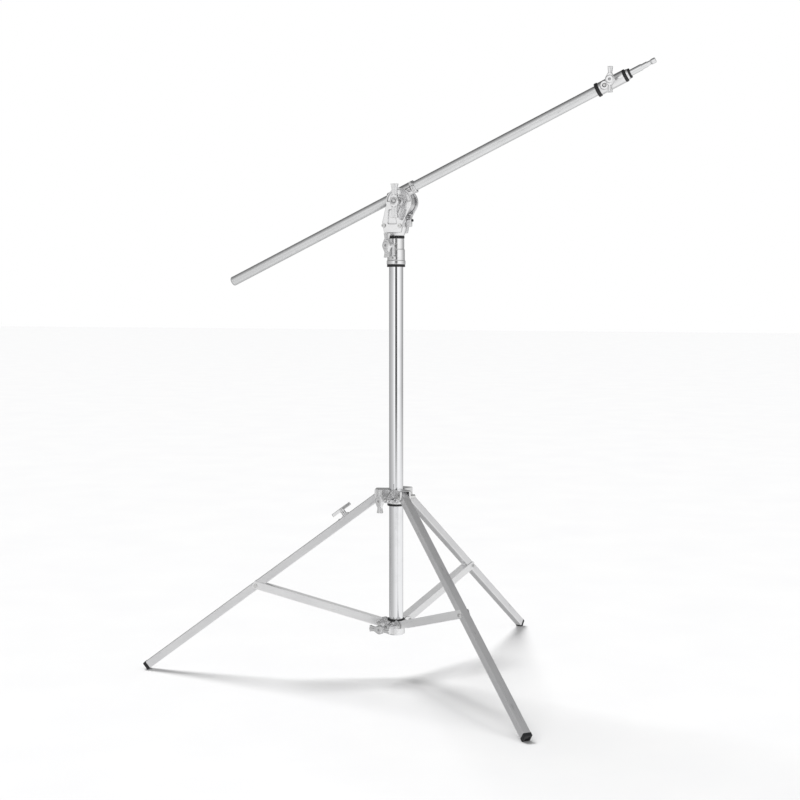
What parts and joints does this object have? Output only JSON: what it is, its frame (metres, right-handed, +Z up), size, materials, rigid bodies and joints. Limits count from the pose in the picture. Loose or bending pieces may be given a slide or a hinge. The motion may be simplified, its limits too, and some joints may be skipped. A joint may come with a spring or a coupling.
{
  "type": "combi boom stand",
  "caption": "Lighting boom stand: three braced folding legs, telescopic round column, tilting head and a telescopic boom arm ending in a stud.",
  "frame": {"origin": "on the floor, under the middle of the whole stand's bounding box", "axes": "+Z up; +X is the way the boom points, seen from above; the boom lies in a plane parallel to XZ"},
  "size_m": [1.5978, 1.3766, 1.8971],
  "materials": {
    "chrome_tube": "mirror chrome plate",
    "bright_casting": "bright chromed die casting",
    "satin_tube": "satin chrome, brushed along the tube",
    "boom_aluminium": "matt anodised, drawn along the tube",
    "black_plastic": "moulded nylon",
    "foot_rubber": "moulded rubber",
    "zinc_fastener": "zinc plated",
    "spigot_steel": "turned steel, bright plated",
    "black_fastener": "black oxide",
    "fibre_washer": "pressed fibre"
  },
  "bodies": {
    "base": {"brace_collar": "bright_casting", "brace_collar_ring": "black_plastic", "brace_collar_bolts": "zinc_fastener"},
    "brace_grip": {"brace_collar_handle": "bright_casting", "brace_collar_stud": "zinc_fastener"},
    "column": {"column_tube": "chrome_tube", "top_collar": "bright_casting", "top_collar_lower_ring": "black_plastic", "top_collar_upper_ring": "black_plastic", "top_collar_screw": "zinc_fastener"},
    "top_grip": {"top_collar_handle": "bright_casting", "top_collar_stud": "zinc_fastener"},
    "riser_guide": {"riser_bush": "black_plastic"},
    "riser": {"riser_tube": "chrome_tube", "head_base": "bright_casting", "head_front_cheek": "bright_casting", "head_screws": "zinc_fastener", "tilt_bolt": "zinc_fastener"},
    "head_grip": {"head_lock_knob": "bright_casting", "head_lock_stud": "black_fastener"},
    "tilt_grip": {"tilt_handle": "bright_casting"},
    "saddle": {"saddle": "bright_casting", "saddle_cap": "bright_casting", "saddle_screws": "zinc_fastener", "friction_washers": "fibre_washer"},
    "boom": {"boom_tube": "boom_aluminium", "boom_end_plug": "boom_aluminium", "tip_collar": "bright_casting", "tip_collar_rear_ring": "black_plastic", "tip_collar_front_ring": "black_plastic", "tip_collar_screw": "zinc_fastener"},
    "tip_grip": {"tip_handle": "bright_casting", "tip_stud": "zinc_fastener"},
    "extension": {"extension_tube": "chrome_tube", "extension_bush": "black_plastic", "extension_chrome_ring": "bright_casting", "extension_black_ring": "black_plastic", "spigot": "spigot_steel"},
    "leg_slider": {"leg_collar": "bright_casting", "leg_collar_ring": "black_plastic", "leg_pivot_bolts": "zinc_fastener"},
    "leg_grip": {"leg_collar_handle": "bright_casting", "leg_collar_stud": "zinc_fastener"},
    "leg_a": {"leg_a_tube": "satin_tube", "leg_a_bolt": "zinc_fastener", "levelling_boss": "bright_casting", "levelling_stop_screw": "zinc_fastener"},
    "level_leg": {"levelling_tube": "satin_tube", "leg_a_foot": "foot_rubber"},
    "level_grip": {"levelling_knob": "bright_casting", "levelling_stud": "zinc_fastener"},
    "leg_b": {"leg_b_tube": "satin_tube", "leg_b_bolt": "zinc_fastener", "leg_b_foot": "foot_rubber"},
    "leg_c": {"leg_c_tube": "satin_tube", "leg_c_bolt": "zinc_fastener", "leg_c_foot": "foot_rubber"},
    "brace_a": {"brace_a": "satin_tube"},
    "brace_b": {"brace_b": "satin_tube"},
    "brace_c": {"brace_c": "satin_tube"}
  },
  "joints": [
    {"name": "column_slide", "type": "slide", "parent": "base", "child": "column", "axis": [0, 0, 1], "range_m": [-0.12, 0]},
    {"name": "riser_slide", "type": "slide", "parent": "column", "child": "riser_guide", "axis": [0, 0, 1], "range_m": [0, 0.95]},
    {"name": "swivel", "type": "hinge", "parent": "riser_guide", "child": "riser", "pos_m": [-0.00751, -0.10374, 0.2], "axis": [0, 0, 1], "continuous": true},
    {"name": "tilt", "type": "hinge", "parent": "riser", "child": "saddle", "pos_m": [0.01249, -0.10374, 1.49219], "axis": [0, -1, 0], "range_deg": [-70, 21]},
    {"name": "boom_slide", "type": "slide", "parent": "saddle", "child": "boom", "axis": [0.9045, 0, 0.4266], "range_m": [-0.6, 0.5]},
    {"name": "extension_slide", "type": "slide", "parent": "boom", "child": "extension", "axis": [0.9045, 0, 0.4266], "range_m": [0, 0.9]},
    {"name": "leg_fold", "type": "slide", "parent": "base", "child": "leg_slider", "axis": [0, 0, 1], "range_m": [0, 0.49671]},
    {"name": "leg_a_hinge", "type": "hinge", "parent": "leg_slider", "child": "leg_a", "pos_m": [-0.05772, -0.11728, 0.572], "axis": [0.2605, -0.9655, 0], "range_deg": [0, 51.39]},
    {"name": "brace_a_hinge", "type": "hinge", "parent": "leg_a", "child": "brace_a", "pos_m": [-0.44127, -0.22077, 0.2767], "axis": [0.2605, -0.9655, 0], "range_deg": [-123.21, 0]},
    {"name": "leg_b_hinge", "type": "hinge", "parent": "leg_slider", "child": "leg_b", "pos_m": [0.02932, -0.14044, 0.572], "axis": [0.7059, 0.7083, 0], "range_deg": [0, 51.39]},
    {"name": "brace_b_hinge", "type": "hinge", "parent": "leg_b", "child": "brace_b", "pos_m": [0.31073, -0.42086, 0.2767], "axis": [0.7059, 0.7083, 0], "range_deg": [-123.21, 0]},
    {"name": "leg_c_hinge", "type": "hinge", "parent": "leg_slider", "child": "leg_c", "pos_m": [0.00586, -0.05349, 0.572], "axis": [-0.9664, 0.2571, 0], "range_deg": [0, 51.39]},
    {"name": "brace_c_hinge", "type": "hinge", "parent": "leg_c", "child": "brace_c", "pos_m": [0.10801, 0.33043, 0.2767], "axis": [-0.9664, 0.2571, 0], "range_deg": [-123.21, 0]},
    {"name": "levelling_slide", "type": "slide", "parent": "leg_a", "child": "level_leg", "axis": [-0.7749, -0.2091, -0.5966], "range_m": [0, 0.1]},
    {"name": "brace_handle_turn", "type": "hinge", "parent": "base", "child": "brace_grip", "pos_m": [-0.00751, -0.10374, 0.157], "axis": [-0.2571, -0.9664, 0], "range_deg": [0, 180]},
    {"name": "leg_handle_turn", "type": "hinge", "parent": "leg_slider", "child": "leg_grip", "pos_m": [-0.00751, -0.10374, 0.563], "axis": [-0.2571, -0.9664, 0], "range_deg": [0, 180]},
    {"name": "top_handle_turn", "type": "hinge", "parent": "column", "child": "top_grip", "pos_m": [-0.00751, -0.10374, 1.357], "axis": [-0.2571, -0.9664, 0], "range_deg": [0, 180]},
    {"name": "tilt_handle_turn", "type": "hinge", "parent": "riser", "child": "tilt_grip", "pos_m": [0.01249, -0.10374, 1.49219], "axis": [0, -1, 0], "range_deg": [0, 180]},
    {"name": "head_knob_turn", "type": "hinge", "parent": "riser", "child": "head_grip", "pos_m": [-0.00751, -0.10374, 1.435], "axis": [1, 0, 0], "range_deg": [0, 180]},
    {"name": "tip_handle_turn", "type": "hinge", "parent": "boom", "child": "tip_grip", "pos_m": [0.67264, -0.10374, 1.83228], "axis": [0, -1, 0], "range_deg": [0, 180]},
    {"name": "levelling_knob_turn", "type": "hinge", "parent": "leg_a", "child": "level_grip", "pos_m": [-0.15612, -0.14384, 0.49624], "axis": [-0.576, -0.1554, 0.8026], "range_deg": [0, 180]}
  ],
  "couplings": [
    {"joint": "leg_a_hinge", "follows": "leg_fold", "rad_per_m": 1.8052},
    {"joint": "brace_a_hinge", "follows": "leg_fold", "rad_per_m": -4.3289},
    {"joint": "leg_b_hinge", "follows": "leg_fold", "rad_per_m": 1.8052},
    {"joint": "brace_b_hinge", "follows": "leg_fold", "rad_per_m": -4.3289},
    {"joint": "leg_c_hinge", "follows": "leg_fold", "rad_per_m": 1.8052},
    {"joint": "brace_c_hinge", "follows": "leg_fold", "rad_per_m": -4.3289}
  ]
}
